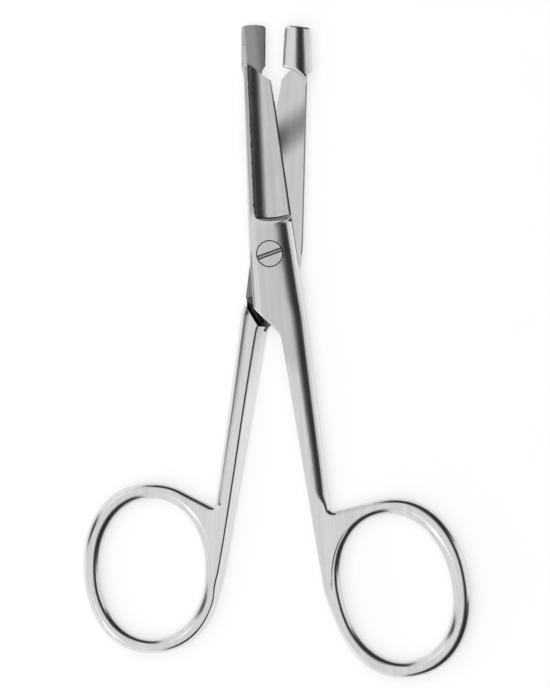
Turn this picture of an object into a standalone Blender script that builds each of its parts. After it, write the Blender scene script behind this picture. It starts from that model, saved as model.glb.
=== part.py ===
"""Suture scissors: two forged halves and a pivot screw, lying flat.

Metres, +Z up. The scissors lie on their rear half, with the jaws toward +Y. The origin is on the
hinge axis, at the height of the underside of the joint. Each half is drawn in a frame of its own:
the scissors closed, the hinge axis at x = y = 0, the lap plane at z = 0, the half's outer face
toward +Z, its blade on the -X side and its finger ring on the +X side. The rear half is the same
kind of blank turned over about the long axis, with its own sizes.
"""
import math
from types import SimpleNamespace

import bmesh
import bpy
import numpy as np
from mathutils import Matrix

# Whole tool
REST_OPENING = math.radians(8.0)
JOINT_THICKNESS = 0.0048
RING_HEIGHT = 0.0044
LAP_GAP = 0.0003

# Blades
EDGE_THICKNESS = 0.0004
HOLLOW_SLOPE = 0.50
BLADE_SLOPE = 0.11
HOLLOW_SHARE = 0.60
EDGE_BEVEL_WIDTH = 0.0004
GRIND_RUNOUT = 0.0013
GRIND_BOW = 0.0007
GRIND_CLEARANCE = 0.0004
SPINE_ROUNDING = 0.0009
EDGE_ROUNDING = 0.0001
CORNER_ROUNDING = 0.0003
BLADE_END_ROUNDING = 0.0006

# Shanks and rings
JOINT_SIDE_ROUNDING = 0.0038
JOINT_ROUNDING_START = 0.0010
SHANK_OUTER_ROUNDING = 0.0028
INNER_FACE_SLANT = 0.0030
HEEL_FACE_SLANT = 0.0020
RING_FACE_SLANT = 0.0013
SLANT_FADE = math.radians(105.0)
INNER_UPPER_ROUNDING = 0.0009
INNER_LOWER_ROUNDING = 0.0004
RING_FLAT = 0.0002
HOLE_ROUNDING_SHARE = 0.55
RING_SQUARENESS = 2.18
HOLE_SQUARENESS = 2.08
ROUNDING_HEIGHT = 1.3
ROUNDING_LIMIT = 0.97
JOINT_CORNER_RADIUS = 0.0030
JOINT_FOOT_RADIUS = 0.0007
CROOK_RADIUS = 0.0024
HEEL_RADIUS = 0.0350
SPINE_BEND_RADIUS = 0.0600
LAP_RISE = math.radians(35.0)
RELIEF_WIDTH = 0.0028
RELIEF_DEPTH = 0.00107
RELIEF_SEAT = 0.0001
RELIEF_RUN = 0.0008
SHOULDER_BEND_RADIUS = 0.0080
FILLET_REACH = 0.48
EDGE_TIP_RADIUS = 0.0030
CROTCH_RADIUS = 0.0009
TAPER_START_Y = -0.0250
TAPER_END_Y = -0.0560

# Holding pads
PAD_SIDE_HEIGHT = 0.0007
PAD_CREST = 0.68
PAD_INNER_FALL = 0.45
PAD_END_CHAMFER = 0.0007
PAD_END_FALL = 0.6
PAD_TIP_ARCH = 0.0003
PAD_CORNER_RADIUS = 0.0008
PAD_FACE_ROUNDING = 0.0003
NECK_DEPTH = 0.0014
NECK_SEAT = 0.0002
KNURL_STEP = 0.0004
KNURL_DEPTH = 0.00018
KNURL_MARGIN = 0.0007

# Pivot screw
HEAD_DIAMETER = 0.0059
HEAD_RIM_HEIGHT = 0.0006
SCREW_DIAMETER = 0.0034
SCREW_CLEARANCE = 0.00025
SLOT_WIDTH = 0.0012
SLOT_FLOOR_WIDTH = 0.0004
SLOT_DEPTH = 0.0006
SLOT_CLEARANCE = 0.0001
SLOT_ANGLE = math.radians(20.0)

# Front half, in plan
FRONT_SPINE_TIP = (-0.00306, 0.04640)
FRONT_SPINE_ROOT = (-0.00476, 0.00200)
FRONT_JOINT_CORNER = (-0.00475, -0.00200)
FRONT_JOINT_FOOT = (-0.00468, -0.01270)
FRONT_CROOK = (0.00098, -0.01960)
FRONT_HEEL = (0.00724, -0.08270)
FRONT_CROTCH = (0.01035, -0.06205)
FRONT_JOINT_SIDE = (0.00795, -0.01600)
FRONT_JOINT_WAIST = (0.00725, -0.00900)
FRONT_EDGE_ROOT = (0.00580, 0.00830)
FRONT_EDGE_TIP = (0.00345, 0.03965)
FRONT_SHOULDER = (0.00310, 0.04100)
FRONT_NOTCH = (0.00115, 0.04247)
FRONT_LAND_WIDTH_TIP = 0.0010
FRONT_LAND_WIDTH_ROOT = 0.0015
FRONT_HOLE_CENTRE = (0.02463, -0.08111)
FRONT_HOLE_LENGTH = 0.0351
FRONT_HOLE_WIDTH = 0.0257
FRONT_HOLE_TILT = math.radians(10.3)
FRONT_RING_CENTRE = (0.02515, -0.08127)
FRONT_RING_LENGTH = 0.0430
FRONT_RING_WIDTH = 0.0336
FRONT_RING_TILT = math.radians(7.6)
FRONT_LAP_OUTER = (0.00600, -0.01190)
FRONT_LAP_INNER = (0.00250, -0.01730)
FRONT_PAD_TIP_OUTER = (-0.00290, 0.05440)
FRONT_PAD_TIP_INNER = (0.00288, 0.05400)
FRONT_PAD_LOW_OUTER = (-0.00352, 0.04490)
FRONT_PAD_LOW_SPINE = (-0.00322, 0.04230)
FRONT_PAD_LOW_ROOT = (0.00110, 0.04230)
FRONT_PAD_LOW_BEND = (0.00130, 0.04340)
FRONT_PAD_LOW_INNER = (0.00219, 0.04460)

# Rear half, in plan
REAR_SPINE_TIP = (-0.00585, 0.04600)
REAR_SPINE_ROOT = (-0.00782, 0.00150)
REAR_JOINT_CORNER = (-0.00765, -0.00200)
REAR_JOINT_FOOT = (-0.00530, -0.01260)
REAR_CROOK = (-0.00120, -0.01840)
REAR_HEEL = (0.00490, -0.07700)
REAR_CROTCH = (0.00850, -0.06090)
REAR_JOINT_SIDE = (0.00560, -0.01400)
REAR_JOINT_WAIST = (0.00495, -0.01210)
REAR_EDGE_ROOT = (0.00400, 0.00830)
REAR_EDGE_TIP = (0.00012, 0.03990)
REAR_SHOULDER = (0.00005, 0.04130)
REAR_NOTCH = (-0.00134, 0.04330)
REAR_LAND_WIDTH_TIP = 0.0010
REAR_LAND_WIDTH_ROOT = 0.0015
REAR_HOLE_CENTRE = (0.02240, -0.07648)
REAR_HOLE_LENGTH = 0.0331
REAR_HOLE_WIDTH = 0.0249
REAR_HOLE_TILT = math.radians(-4.9)
REAR_RING_CENTRE = (0.02236, -0.07639)
REAR_RING_LENGTH = 0.0406
REAR_RING_WIDTH = 0.0328
REAR_RING_TILT = math.radians(-7.5)
REAR_LAP_OUTER = (0.00520, -0.01230)
REAR_LAP_INNER = (0.00160, -0.01740)
REAR_PAD_TIP_OUTER = (-0.00608, 0.05411)
REAR_PAD_TIP_INNER = (0.00017, 0.05427)
REAR_PAD_LOW_OUTER = (-0.00698, 0.04420)
REAR_PAD_LOW_SPINE = (-0.00585, 0.04195)
REAR_PAD_LOW_ROOT = (-0.00410, 0.04300)
REAR_PAD_LOW_BEND = (-0.00285, 0.04370)
REAR_PAD_LOW_INNER = (0.00007, 0.04427)

# Fineness of the meshes
ARC_STEP = math.radians(15.0)
LINE_STEP = 0.0035
RING_STEPS = 60
TANGENT_TRIES = 1440
ROUNDING_ROWS = 4
GRIND_COLUMNS = 8
GRIND_STATIONS = 8
RUNOUT_STEPS = 6
TURNED_STEPS = 40
SHARP_ANGLE = math.radians(32.0)

HALF_THICKNESS = JOINT_THICKNESS / 2
FACE_Z = LAP_GAP / 2
BEYOND = 0.004
WIDE = 0.020

front_sizes = SimpleNamespace(
    spine_tip=FRONT_SPINE_TIP,
    spine_root=FRONT_SPINE_ROOT,
    joint_corner=FRONT_JOINT_CORNER,
    joint_foot=FRONT_JOINT_FOOT,
    crook=FRONT_CROOK,
    heel=FRONT_HEEL,
    crotch=FRONT_CROTCH,
    joint_side=FRONT_JOINT_SIDE,
    joint_waist=FRONT_JOINT_WAIST,
    edge_root=FRONT_EDGE_ROOT,
    edge_tip=FRONT_EDGE_TIP,
    shoulder=FRONT_SHOULDER,
    notch=FRONT_NOTCH,
    land_tip=FRONT_LAND_WIDTH_TIP,
    land_root=FRONT_LAND_WIDTH_ROOT,
    hole_centre=FRONT_HOLE_CENTRE,
    hole_length=FRONT_HOLE_LENGTH,
    hole_width=FRONT_HOLE_WIDTH,
    hole_tilt=FRONT_HOLE_TILT,
    ring_centre=FRONT_RING_CENTRE,
    ring_length=FRONT_RING_LENGTH,
    ring_width=FRONT_RING_WIDTH,
    ring_tilt=FRONT_RING_TILT,
    lap_outer=FRONT_LAP_OUTER,
    lap_inner=FRONT_LAP_INNER,
    pad_tip_outer=FRONT_PAD_TIP_OUTER,
    pad_tip_inner=FRONT_PAD_TIP_INNER,
    pad_low_outer=FRONT_PAD_LOW_OUTER,
    pad_low_spine=FRONT_PAD_LOW_SPINE,
    pad_low_root=FRONT_PAD_LOW_ROOT,
    pad_low_bend=FRONT_PAD_LOW_BEND,
    pad_low_inner=FRONT_PAD_LOW_INNER,
)
rear_sizes = SimpleNamespace(
    spine_tip=REAR_SPINE_TIP,
    spine_root=REAR_SPINE_ROOT,
    joint_corner=REAR_JOINT_CORNER,
    joint_foot=REAR_JOINT_FOOT,
    crook=REAR_CROOK,
    heel=REAR_HEEL,
    crotch=REAR_CROTCH,
    joint_side=REAR_JOINT_SIDE,
    joint_waist=REAR_JOINT_WAIST,
    edge_root=REAR_EDGE_ROOT,
    edge_tip=REAR_EDGE_TIP,
    shoulder=REAR_SHOULDER,
    notch=REAR_NOTCH,
    land_tip=REAR_LAND_WIDTH_TIP,
    land_root=REAR_LAND_WIDTH_ROOT,
    hole_centre=REAR_HOLE_CENTRE,
    hole_length=REAR_HOLE_LENGTH,
    hole_width=REAR_HOLE_WIDTH,
    hole_tilt=REAR_HOLE_TILT,
    ring_centre=REAR_RING_CENTRE,
    ring_length=REAR_RING_LENGTH,
    ring_width=REAR_RING_WIDTH,
    ring_tilt=REAR_RING_TILT,
    lap_outer=REAR_LAP_OUTER,
    lap_inner=REAR_LAP_INNER,
    pad_tip_outer=REAR_PAD_TIP_OUTER,
    pad_tip_inner=REAR_PAD_TIP_INNER,
    pad_low_outer=REAR_PAD_LOW_OUTER,
    pad_low_spine=REAR_PAD_LOW_SPINE,
    pad_low_root=REAR_PAD_LOW_ROOT,
    pad_low_bend=REAR_PAD_LOW_BEND,
    pad_low_inner=REAR_PAD_LOW_INNER,
)


def clear_scene():
    for obj in list(bpy.data.objects):
        bpy.data.objects.remove(obj, do_unlink=True)


def steel(name, colour, roughness):
    material = bpy.data.materials.new(name)
    material.use_nodes = True
    shader = material.node_tree.nodes["Principled BSDF"]
    shader.inputs["Base Color"].default_value = (*colour, 1.0)
    shader.inputs["Roughness"].default_value = roughness
    shader.inputs["Metallic"].default_value = 1.0
    return material


def object_from(bm, name):
    bmesh.ops.recalc_face_normals(bm, faces=bm.faces)
    mesh = bpy.data.meshes.new(name)
    bm.to_mesh(mesh)
    bm.free()
    obj = bpy.data.objects.new(name, mesh)
    bpy.context.collection.objects.link(obj)
    return obj


def cutter(bm, name):
    obj = object_from(bm, name)
    obj.hide_render = True
    obj.display_type = "WIRE"
    return obj


def combine(obj, other, operation):
    modifier = obj.modifiers.new(other.name, "BOOLEAN")
    modifier.operation = operation
    modifier.solver = "EXACT"
    modifier.object = other


def prism(outline, low, high):
    """A closed block on a plan outline, between two heights."""
    bm = bmesh.new()
    base = [bm.verts.new((x, y, low)) for x, y in outline]
    face = bm.faces.new(base)
    raised = bmesh.ops.extrude_face_region(bm, geom=[face])
    tops = [item for item in raised["geom"] if isinstance(item, bmesh.types.BMVert)]
    bmesh.ops.translate(bm, vec=(0.0, 0.0, high - low), verts=tops)
    return bm


def turned(profile, steps):
    """A solid of revolution about Z; the profile of (radius, z) starts and ends on the axis."""
    bm = bmesh.new()
    rows = []
    for radius, z in profile:
        if radius == 0.0:
            rows.append([bm.verts.new((0.0, 0.0, z))])
            continue
        angles = [2 * math.pi * i / steps for i in range(steps)]
        rows.append([bm.verts.new((radius * math.cos(a), radius * math.sin(a), z)) for a in angles])
    for lower, upper in zip(rows, rows[1:]):
        for i in range(steps):
            j = (i + 1) % steps
            corners = [lower[i % len(lower)], lower[j % len(lower)]]
            corners += [upper[j % len(upper)], upper[i % len(upper)]]
            bm.faces.new(list(dict.fromkeys(corners)))
    return bm


def oval_point(centre, width, length, tilt, squareness, angle):
    """A point of an oval a little fuller than an ellipse."""
    cosine = math.cos(angle)
    sine = math.sin(angle)
    across = width / 2 * math.copysign(abs(cosine) ** (2 / squareness), cosine)
    along = length / 2 * math.copysign(abs(sine) ** (2 / squareness), sine)
    x = centre[0] + across * math.cos(tilt) - along * math.sin(tilt)
    y = centre[1] + across * math.sin(tilt) + along * math.cos(tilt)
    return (x, y)


def hole_point(half, angle):
    size = (half.hole_width, half.hole_length, half.hole_tilt)
    return oval_point(half.hole_centre, *size, HOLE_SQUARENESS, angle)


def ring_point(half, angle):
    size = (half.ring_width, half.ring_length, half.ring_tilt)
    return oval_point(half.ring_centre, *size, RING_SQUARENESS, angle)


def tangent_angle(half, point, side):
    """The angle at which a line from a point outside touches the ring's outer edge."""
    toward = math.atan2(half.ring_centre[1] - point[1], half.ring_centre[0] - point[0])
    best = 0.0
    result = 0.0
    for k in range(TANGENT_TRIES):
        angle = 2 * math.pi * k / TANGENT_TRIES
        x, y = ring_point(half, angle)
        off = math.remainder(math.atan2(y - point[1], x - point[0]) - toward, 2 * math.pi)
        if side * off > best:
            best = side * off
            result = angle
    return result


def filleted(corners):
    """The points of a line through corners of (point, radius, edge), with an arc at each radius."""
    points = []
    for i, (corner, radius, edge) in enumerate(corners):
        if radius == 0.0 or i in (0, len(corners) - 1):
            points.append(np.array([*corner, *edge]))
            continue
        here = np.array(corner)
        back = np.array(corners[i - 1][0]) - here
        ahead = np.array(corners[i + 1][0]) - here
        room = FILLET_REACH * min(np.linalg.norm(back), np.linalg.norm(ahead))
        back /= np.linalg.norm(back)
        ahead /= np.linalg.norm(ahead)
        half = math.acos(max(-1.0, min(1.0, float(back @ ahead)))) / 2
        reach = min(radius / math.tan(half), room)
        radius = reach * math.tan(half)
        middle = (back + ahead) / np.linalg.norm(back + ahead)
        centre = here + middle * radius / math.sin(half)
        start = here + back * reach - centre
        turn = math.pi - 2 * half
        if back[0] * ahead[1] - back[1] * ahead[0] > 0:
            turn = -turn
        steps = max(2, math.ceil(abs(turn) / ARC_STEP))
        for k in range(steps + 1):
            a = turn * k / steps
            x = centre[0] + start[0] * math.cos(a) - start[1] * math.sin(a)
            y = centre[1] + start[0] * math.sin(a) + start[1] * math.cos(a)
            points.append(np.array([x, y, *edge]))
    return points


def divided(points):
    """The same line with no straight stretch longer than the line step, its edges blended."""
    result = []
    for first, second in zip(points, points[1:]):
        length = np.linalg.norm(second[:2] - first[:2])
        steps = max(1, math.ceil(length / LINE_STEP))
        for k in range(steps):
            place = first + (second - first) * k / steps
            place[2:] = first[2:] + (second[2:] - first[2:]) * eased(k / steps)
            result.append(place)
    result.append(points[-1])
    return result


def eased(share):
    share = min(1.0, max(0.0, share))
    return share * share * (3 - 2 * share)


def ring_edge(half, angle, share):
    """The edge of a ring there: a rounding that takes a share of its band, and no slant."""
    rounding = (math.dist(ring_point(half, angle), hole_point(half, angle)) - RING_FLAT) * share
    return np.array([rounding, rounding, 0.0])


def half_outline(half):
    """The plan of a half, anticlockwise.

    Each point carries its edge: the rounding at the outer face and at the lap face, and how far the
    side slants inward between them.
    """
    slanted = np.array([INNER_UPPER_ROUNDING, INNER_LOWER_ROUNDING, RING_FACE_SLANT])
    keen = (EDGE_ROUNDING, EDGE_ROUNDING, 0.0)
    corner = (CORNER_ROUNDING, CORNER_ROUNDING, 0.0)
    end = (BLADE_END_ROUNDING, EDGE_ROUNDING, 0.0)
    spine = (SPINE_ROUNDING, SPINE_ROUNDING, 0.0)
    shank = (SHANK_OUTER_ROUNDING, SHANK_OUTER_ROUNDING, 0.0)
    joint = (JOINT_SIDE_ROUNDING, JOINT_SIDE_ROUNDING, 0.0)
    heel = (INNER_UPPER_ROUNDING, INNER_LOWER_ROUNDING, HEEL_FACE_SLANT)
    side = math.dist(half.edge_root, half.joint_waist)
    joint_top = along([half.edge_root, half.joint_waist], JOINT_ROUNDING_START / side)
    start_angle = tangent_angle(half, half.heel, -1)
    end_angle = tangent_angle(half, half.crotch, 1) + 2 * math.pi
    end_edge = ring_edge(half, end_angle, 1 - HOLE_ROUNDING_SHARE)
    left = filleted([
        (half.notch, 0.0, end),
        (half.spine_tip, SPINE_ROUNDING, end),
        (half.spine_root, SPINE_BEND_RADIUS, spine),
        (half.joint_corner, JOINT_CORNER_RADIUS, corner),
        (half.joint_foot, JOINT_FOOT_RADIUS, corner),
        (half.crook, CROOK_RADIUS, (INNER_UPPER_ROUNDING, INNER_LOWER_ROUNDING, INNER_FACE_SLANT)),
        (half.heel, HEEL_RADIUS, heel),
        (ring_point(half, start_angle), 0.0, slanted),
    ])
    steps = math.ceil(RING_STEPS * (end_angle - start_angle) / (2 * math.pi))
    ring = []
    for k in range(1, steps):
        angle = start_angle + (end_angle - start_angle) * k / steps
        edge = ring_edge(half, angle, 1 - HOLE_ROUNDING_SHARE)
        edge = slanted + (edge - slanted) * eased((angle - start_angle) / SLANT_FADE)
        ring.append(np.array([*ring_point(half, angle), *edge]))
    right = filleted([
        (ring_point(half, end_angle), 0.0, end_edge),
        (half.crotch, CROTCH_RADIUS, end_edge),
        (half.joint_side, SHOULDER_BEND_RADIUS, shank),
        (half.joint_waist, SHOULDER_BEND_RADIUS, joint),
        (joint_top, 0.0, joint),
        (half.edge_root, 0.0, keen),
        (half.edge_tip, EDGE_TIP_RADIUS, keen),
        (half.shoulder, 0.0, keen),
        (half.notch, 0.0, end),
    ])
    return divided(left) + ring + divided(right)[:-1]


def hole_outline(half):
    """The finger hole, clockwise, with its edge."""
    points = []
    for k in range(RING_STEPS):
        angle = -2 * math.pi * k / RING_STEPS
        edge = ring_edge(half, angle, HOLE_ROUNDING_SHARE)
        points.append(np.array([*hole_point(half, angle), *edge]))
    return points


def inset_directions(outline):
    """For each point of a closed line, the step into the material that moves its edges in by one."""
    directions = []
    for i, point in enumerate(outline):
        before = outline[i - 1][:2]
        here = point[:2]
        after = outline[(i + 1) % len(outline)][:2]
        first = (here - before) / np.linalg.norm(here - before)
        second = (after - here) / np.linalg.norm(after - here)
        normal = np.array([-first[1] - second[1], first[0] + second[0]])
        normal /= np.linalg.norm(normal)
        directions.append(normal / (normal[0] * -first[1] + normal[1] * first[0]))
    return directions


def rounded_rows(bm, outline):
    """The edge of a plate: rows of vertices from its lower face round to its upper face."""
    directions = inset_directions(outline)
    rows = []
    angles = [math.pi / 2 * k / ROUNDING_ROWS for k in range(ROUNDING_ROWS + 1)]
    levels = [(-1, a) for a in reversed(angles)] + [(1, a) for a in angles]
    for side, angle in levels:
        row = []
        for (x, y, upper, lower, slant), direction in zip(outline, directions):
            rounding = upper if side > 0 else lower
            height = min(rounding * ROUNDING_HEIGHT, HALF_THICKNESS * ROUNDING_LIMIT)
            z = side * (HALF_THICKNESS - height * (1 - math.sin(angle)))
            inset = rounding * (1 - math.cos(angle)) + slant * (HALF_THICKNESS - z) / JOINT_THICKNESS
            row.append(bm.verts.new((x + direction[0] * inset, y + direction[1] * inset, z)))
        rows.append(row)
    return rows


def taper(y):
    """How thick the forging is at a place along it, as a share of the joint's thickness."""
    share = eased((TAPER_START_Y - y) / (TAPER_START_Y - TAPER_END_Y))
    return 1 + (RING_HEIGHT / JOINT_THICKNESS - 1) * share


def forged_blank(half, name):
    """The whole half at full thickness, with its ring, before the lap and the grinds are cut."""
    bm = bmesh.new()
    faces_at = {0: [], -1: []}
    for outline in (half_outline(half), hole_outline(half)):
        rows = rounded_rows(bm, outline)
        count = len(outline)
        for lower, upper in zip(rows, rows[1:]):
            for i in range(count):
                j = (i + 1) % count
                bm.faces.new((lower[i], lower[j], upper[j], upper[i]))
        for level in faces_at:
            row = rows[level]
            faces_at[level] += [bm.edges.get((row[i], row[i - 1])) for i in range(count)]
    for edges in faces_at.values():
        bmesh.ops.triangle_fill(bm, use_beauty=True, use_dissolve=False, edges=edges)
    for vert in bm.verts:
        vert.co.z *= taper(vert.co.y)
    return object_from(bm, name)


def lap_cutter(half, name):
    """What the other half's lap needs: everything under the lap plane, above the shoulder wall."""
    neck = [half.pad_low_inner, half.pad_low_bend, half.pad_low_root, half.pad_low_spine]
    wall = [half.lap_inner, half.lap_outer]
    outline = [(x, y + NECK_SEAT) for x, y in neck]
    outline = [(WIDE, outline[0][1])] + outline + [(-WIDE, outline[-1][1])]
    outline += [(-WIDE, half.lap_inner[1])] + wall
    outline.append((half.lap_outer[0] + WIDE, half.lap_outer[1] + WIDE * math.tan(LAP_RISE)))
    return cutter(prism(outline, -HALF_THICKNESS - BEYOND, FACE_Z), name)


def relief_cutter(half, name):
    """A relief in the lap face, deepest at the shoulder wall, which runs out toward the screw."""
    start = np.array(half.lap_inner)
    way = np.array(half.lap_outer) - start
    length = np.linalg.norm(way)
    way /= length
    inward = np.array([-way[1], way[0]])
    section = [(RELIEF_SEAT, RELIEF_DEPTH), (RELIEF_WIDTH, -RELIEF_SEAT)]
    bm = bmesh.new()
    lower = []
    upper = []
    for reach in (RELIEF_SEAT, length + RELIEF_RUN):
        line = []
        for off, depth in section:
            slip = -inward[1] * off / way[1] if reach < length else 0.0
            x, y = start + way * (reach + slip) + inward * off
            line.append((x, y, FACE_Z + depth))
        lower.append([bm.verts.new((x, y, -HALF_THICKNESS)) for x, y, _ in line])
        upper.append([bm.verts.new(place) for place in line])
    close_grid(bm, lower, upper)
    return cutter(bm, name)


def neck_cutter(half, name):
    """Thins the neck from below, where it carries the pad."""
    low = half.pad_low_spine[1] - BEYOND
    high = half.spine_tip[1] + BEYOND
    outline = [(-WIDE, low), (WIDE, low), (WIDE, high), (-WIDE, high)]
    return cutter(prism(outline, -HALF_THICKNESS - BEYOND, -NECK_DEPTH), name)


def spine_at(half, y):
    root = half.spine_root
    tip = half.spine_tip
    return float(np.interp(y, (root[1], tip[1]), (root[0], tip[0])))


def edge_at(half, y):
    root = half.edge_root
    tip = half.edge_tip
    slope = (tip[0] - root[0]) / (tip[1] - root[1])
    return root[0] + (y - root[1]) * slope


def hollow_drop(u):
    """How far the ground face has dropped at a share of its width, for a face of width one."""
    share = min(1.0, u / HOLLOW_SHARE)
    steep = HOLLOW_SHARE * (share - share ** 3 + share ** 4 / 2)
    return BLADE_SLOPE * u + (HOLLOW_SLOPE - BLADE_SLOPE) * steep


def grind_cutter(half, name):
    """The hollow grind: a shallow hollow from the spine's land down to the edge, run out at the root."""
    root_y = half.edge_root[1]
    tip_y = half.spine_tip[1] + BEYOND
    runout = np.linspace(0.0, 1.0, RUNOUT_STEPS, endpoint=False)
    stations = [(root_y + GRIND_RUNOUT * s, quarter(s, 1.0)) for s in runout]
    stations += [(y, 0.0) for y in np.linspace(root_y + GRIND_RUNOUT, tip_y, GRIND_STATIONS)]
    clear = HALF_THICKNESS + GRIND_CLEARANCE
    top = clear + BEYOND
    bm = bmesh.new()
    lower = []
    upper = []
    for y, rise in stations:
        share = (y - root_y) / (half.spine_tip[1] - root_y)
        land = half.land_root + (half.land_tip - half.land_root) * share
        inner = spine_at(half, y) + land
        outer = edge_at(half, y) + EDGE_ROUNDING
        bend = GRIND_BOW * max(0.0, 1 - (y - root_y) / (4 * GRIND_RUNOUT))
        width = outer - inner
        places = [(inner - GRIND_CLEARANCE, y, clear)]
        for u in np.linspace(0.0, 1 - EDGE_BEVEL_WIDTH / width, GRIND_COLUMNS + 1):
            ground = max(EDGE_THICKNESS, HALF_THICKNESS - width * hollow_drop(u))
            place = (inner + width * u, y - bend * 4 * u * (1 - u), ground + (clear - ground) * rise)
            places.append(place)
        places.append((outer, y, EDGE_THICKNESS + (clear - EDGE_THICKNESS) * rise))
        places.append((outer + GRIND_CLEARANCE, y, places[-1][2]))
        lower.append([bm.verts.new(place) for place in places])
        upper.append([bm.verts.new((x, y, top)) for x, y, _ in places])
    close_grid(bm, lower, upper)
    return cutter(bm, name)


def close_grid(bm, lower, upper):
    """Faces on two grids of vertices that lie over each other, and round their four sides."""
    for grid in (lower, upper):
        for first, second in zip(grid, grid[1:]):
            for i in range(len(first) - 1):
                bm.faces.new((first[i], first[i + 1], second[i + 1], second[i]))
    rims = [(lower[0], upper[0]), (lower[-1], upper[-1])]
    rims.append(([row[0] for row in lower], [row[0] for row in upper]))
    rims.append(([row[-1] for row in lower], [row[-1] for row in upper]))
    for low, high in rims:
        for i in range(len(low) - 1):
            bm.faces.new((low[i], low[i + 1], high[i + 1], high[i]))


def along(points, share):
    """The place at a share of a bent line's length."""
    points = np.array(points)
    steps = np.linalg.norm(np.diff(points, axis=0), axis=1)
    reached = np.concatenate([[0.0], np.cumsum(steps)]) / steps.sum()
    x = np.interp(share, reached, points[:, 0])
    y = np.interp(share, reached, points[:, 1])
    return np.array([x, y])


def pad_place(half, u, t):
    """A point of the pad's plan: u goes from the spine side to the inner side, t from low to tip."""
    outer = [half.pad_low_spine, half.pad_low_outer, half.pad_tip_outer]
    inner = [half.pad_low_inner, half.pad_tip_inner]
    low = [half.pad_low_spine, half.pad_low_root, half.pad_low_bend, half.pad_low_inner]
    tip = along([half.pad_tip_outer, half.pad_tip_inner], u)
    side = min(u, 1 - u) * math.dist(half.pad_tip_outer, half.pad_tip_inner)
    tip[1] += PAD_TIP_ARCH * 4 * u * (1 - u)
    tip[1] -= PAD_CORNER_RADIUS * quarter(side, PAD_CORNER_RADIUS)
    sides = (1 - u) * along(outer, t) + u * along(inner, t)
    ends = (1 - t) * along(low, u) + t * tip
    corners = (1 - u) * (1 - t) * np.array(half.pad_low_spine)
    corners += u * (1 - t) * np.array(half.pad_low_inner)
    corners += (1 - u) * t * np.array(half.pad_tip_outer)
    corners += u * t * np.array(half.pad_tip_inner)
    return sides + ends - corners


def quarter(distance, reach):
    """One at a rounded edge, falling to nothing along a quarter circle within its reach."""
    share = min(1.0, distance / reach)
    return 1 - math.sqrt(1 - (1 - share) ** 2)


def holding_pad(half, name):
    """The pad under the lap plane: a knurled face at the plane and a crowned back."""
    width = math.dist(half.pad_tip_outer, half.pad_tip_inner)
    length = math.dist(half.pad_low_outer, half.pad_tip_outer)
    columns = 2 * round(width / KNURL_STEP / 2)
    rows = 2 * round(length / KNURL_STEP / 2)
    bm = bmesh.new()
    face = []
    back = []
    for r in range(rows + 1):
        face_row = []
        back_row = []
        for c in range(columns + 1):
            u = c / columns
            t = r / rows
            x, y = pad_place(half, u, t)
            side = min(u, 1 - u) * width
            end = (1 - t) * length
            low_end = t * length
            edge = PAD_FACE_ROUNDING * max(quarter(side, PAD_FACE_ROUNDING), quarter(end, PAD_FACE_ROUNDING))
            groove = KNURL_DEPTH if (r + c) % 2 == 0 else 0.0
            if min(side, end, low_end) < KNURL_MARGIN:
                groove = 0.0
            crown = 1 - PAD_INNER_FALL * ((u - PAD_CREST) / (1 - PAD_CREST)) ** 2
            if u < PAD_CREST:
                crown = 1 - ((PAD_CREST - u) / PAD_CREST) ** 2
            depth = PAD_SIDE_HEIGHT + (HALF_THICKNESS - PAD_SIDE_HEIGHT) * crown
            ease = quarter(min(end, low_end), PAD_END_CHAMFER)
            depth -= (depth - PAD_SIDE_HEIGHT) * ease * PAD_END_FALL
            face_row.append(bm.verts.new((x, y, -FACE_Z - edge - groove)))
            back_row.append(bm.verts.new((x, y, -depth)))
        face.append(face_row)
        back.append(back_row)
    close_grid(bm, back, face)
    return cutter(bm, name)


def screw_profile(grow, top, bottom):
    """The screw's outline of (radius, z), or with a clearance the seat that takes it."""
    head = HEAD_DIAMETER / 2 + grow
    shank = SCREW_DIAMETER / 2 + grow
    rim = HALF_THICKNESS - HEAD_RIM_HEIGHT - grow
    cone = rim - (head - shank)
    return [(0.0, bottom), (shank, bottom), (shank, cone), (head, rim), (head, top), (0.0, top)]


def forged_half(half, name, headed):
    obj = forged_blank(half, name)
    combine(obj, lap_cutter(half, name + "_lap"), "DIFFERENCE")
    combine(obj, relief_cutter(half, name + "_relief"), "DIFFERENCE")
    combine(obj, neck_cutter(half, name + "_neck"), "DIFFERENCE")
    combine(obj, grind_cutter(half, name + "_grind"), "DIFFERENCE")
    combine(obj, holding_pad(half, name + "_pad"), "UNION")
    above = HALF_THICKNESS + BEYOND
    profile = screw_profile(SCREW_CLEARANCE, above, -above)
    if not headed:
        bore = SCREW_DIAMETER / 2 + SCREW_CLEARANCE
        profile = [(0.0, -above), (bore, -above), (bore, above), (0.0, above)]
    combine(obj, cutter(turned(profile, TURNED_STEPS), name + "_bore"), "DIFFERENCE")
    return obj


def pivot_screw():
    profile = screw_profile(0.0, HALF_THICKNESS, -HALF_THICKNESS)
    obj = object_from(turned(profile, TURNED_STEPS), "pivot_screw")
    above = HALF_THICKNESS + SLOT_CLEARANCE
    bottom = HALF_THICKNESS - SLOT_DEPTH
    section = [(-SLOT_FLOOR_WIDTH / 2, bottom), (SLOT_FLOOR_WIDTH / 2, bottom)]
    section += [(SLOT_WIDTH / 2, above), (-SLOT_WIDTH / 2, above)]
    slot = cutter(prism(section, -HEAD_DIAMETER, HEAD_DIAMETER), "screw_slot")
    slot.rotation_euler = (math.pi / 2, 0.0, SLOT_ANGLE - math.pi / 2)
    combine(obj, slot, "DIFFERENCE")
    return obj


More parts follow.
